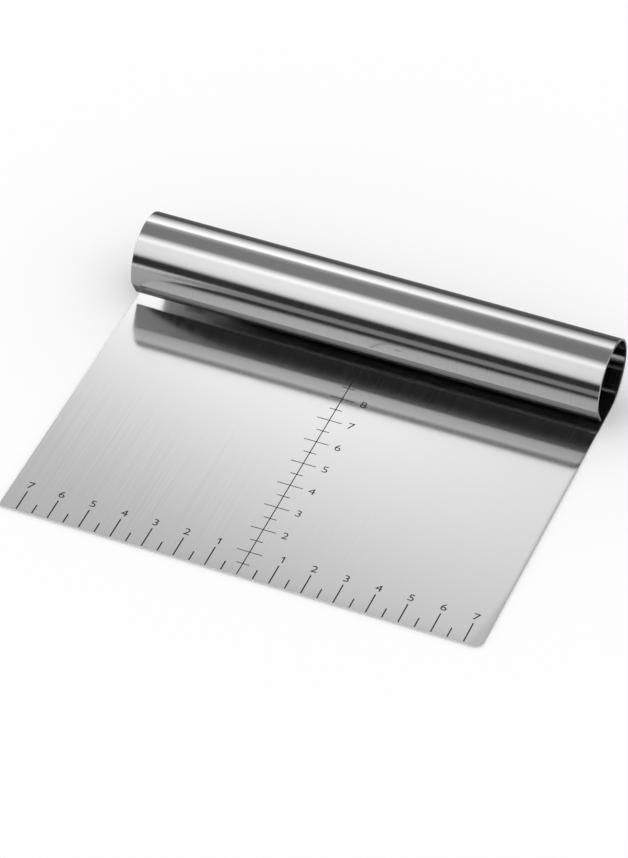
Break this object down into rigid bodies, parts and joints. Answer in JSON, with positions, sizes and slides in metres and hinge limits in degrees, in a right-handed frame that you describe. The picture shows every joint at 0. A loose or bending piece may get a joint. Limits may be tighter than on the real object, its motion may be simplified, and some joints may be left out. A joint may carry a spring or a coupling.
{
  "type": "dough scraper",
  "caption": "Flat stainless steel dough scraper: a rectangular blade whose far edge is rolled into an open tube handle, with a centimetre scale along the scraping edge and up the middle.",
  "frame": {"origin": "under the middle of the scraper lying on its back: centre of its bounding box, on the blade's back face", "axes": "+X along the scraping edge, +Y from the scraping edge to the rolled handle, +Z out of the blade's front face"},
  "size_m": [0.151, 0.1194, 0.0248],
  "materials": {
    "stainless_sheet": "satin stainless steel with fine lines across the sheet, cut edges left bright",
    "scale_ink": "flat near-black printed marks"
  },
  "bodies": {
    "root": {"blade": "stainless_sheet", "handle_roll": "stainless_sheet", "centre_scale": "scale_ink", "edge_mark_left_5": "scale_ink", "edge_mark_left_10": "scale_ink", "edge_mark_left_15": "scale_ink", "edge_mark_left_20": "scale_ink", "edge_mark_left_25": "scale_ink", "edge_mark_left_30": "scale_ink", "edge_mark_left_35": "scale_ink", "edge_mark_left_40": "scale_ink", "edge_mark_left_45": "scale_ink", "edge_mark_left_50": "scale_ink", "edge_mark_left_55": "scale_ink", "edge_mark_left_60": "scale_ink", "edge_mark_left_65": "scale_ink", "edge_mark_left_70": "scale_ink", "edge_mark_right_5": "scale_ink", "edge_mark_right_10": "scale_ink", "edge_mark_right_15": "scale_ink", "edge_mark_right_20": "scale_ink", "edge_mark_right_25": "scale_ink", "edge_mark_right_30": "scale_ink", "edge_mark_right_35": "scale_ink", "edge_mark_right_40": "scale_ink", "edge_mark_right_45": "scale_ink", "edge_mark_right_50": "scale_ink", "edge_mark_right_55": "scale_ink", "edge_mark_right_60": "scale_ink", "edge_mark_right_65": "scale_ink", "edge_mark_right_70": "scale_ink"}
  },
  "joints": []
}
